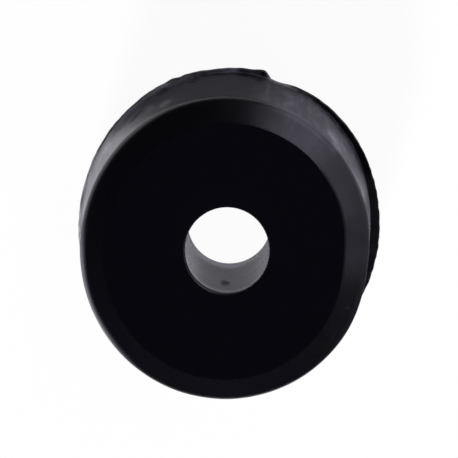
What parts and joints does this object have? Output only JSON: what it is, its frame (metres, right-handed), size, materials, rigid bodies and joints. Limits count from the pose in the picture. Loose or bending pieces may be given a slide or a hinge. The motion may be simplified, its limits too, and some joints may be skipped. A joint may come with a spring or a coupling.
{
  "type": "thick bevelled rubber sealing ring",
  "caption": "Thick black rubber sealing ring, a little out of round, with a straight round bore, a bevelled front edge and a thin torn moulding lip round its back.",
  "frame": {"origin": "centre of the bore on the flat back face, which the ring lies on", "axes": "+Z along the bore, from the flat back face to the bevelled front face; +Y is twelve o'clock, along the ring's longer diameter, and the torn place in the lip lies 13 to 30 degrees clockwise from it seen from the front"},
  "size_m": [0.0204, 0.0218, 0.008],
  "materials": {
    "rubber": "satin black moulded rubber, smooth front face, slightly mottled bevel and wall"
  },
  "bodies": {
    "root": {"seal_ring": "rubber"}
  },
  "joints": []
}
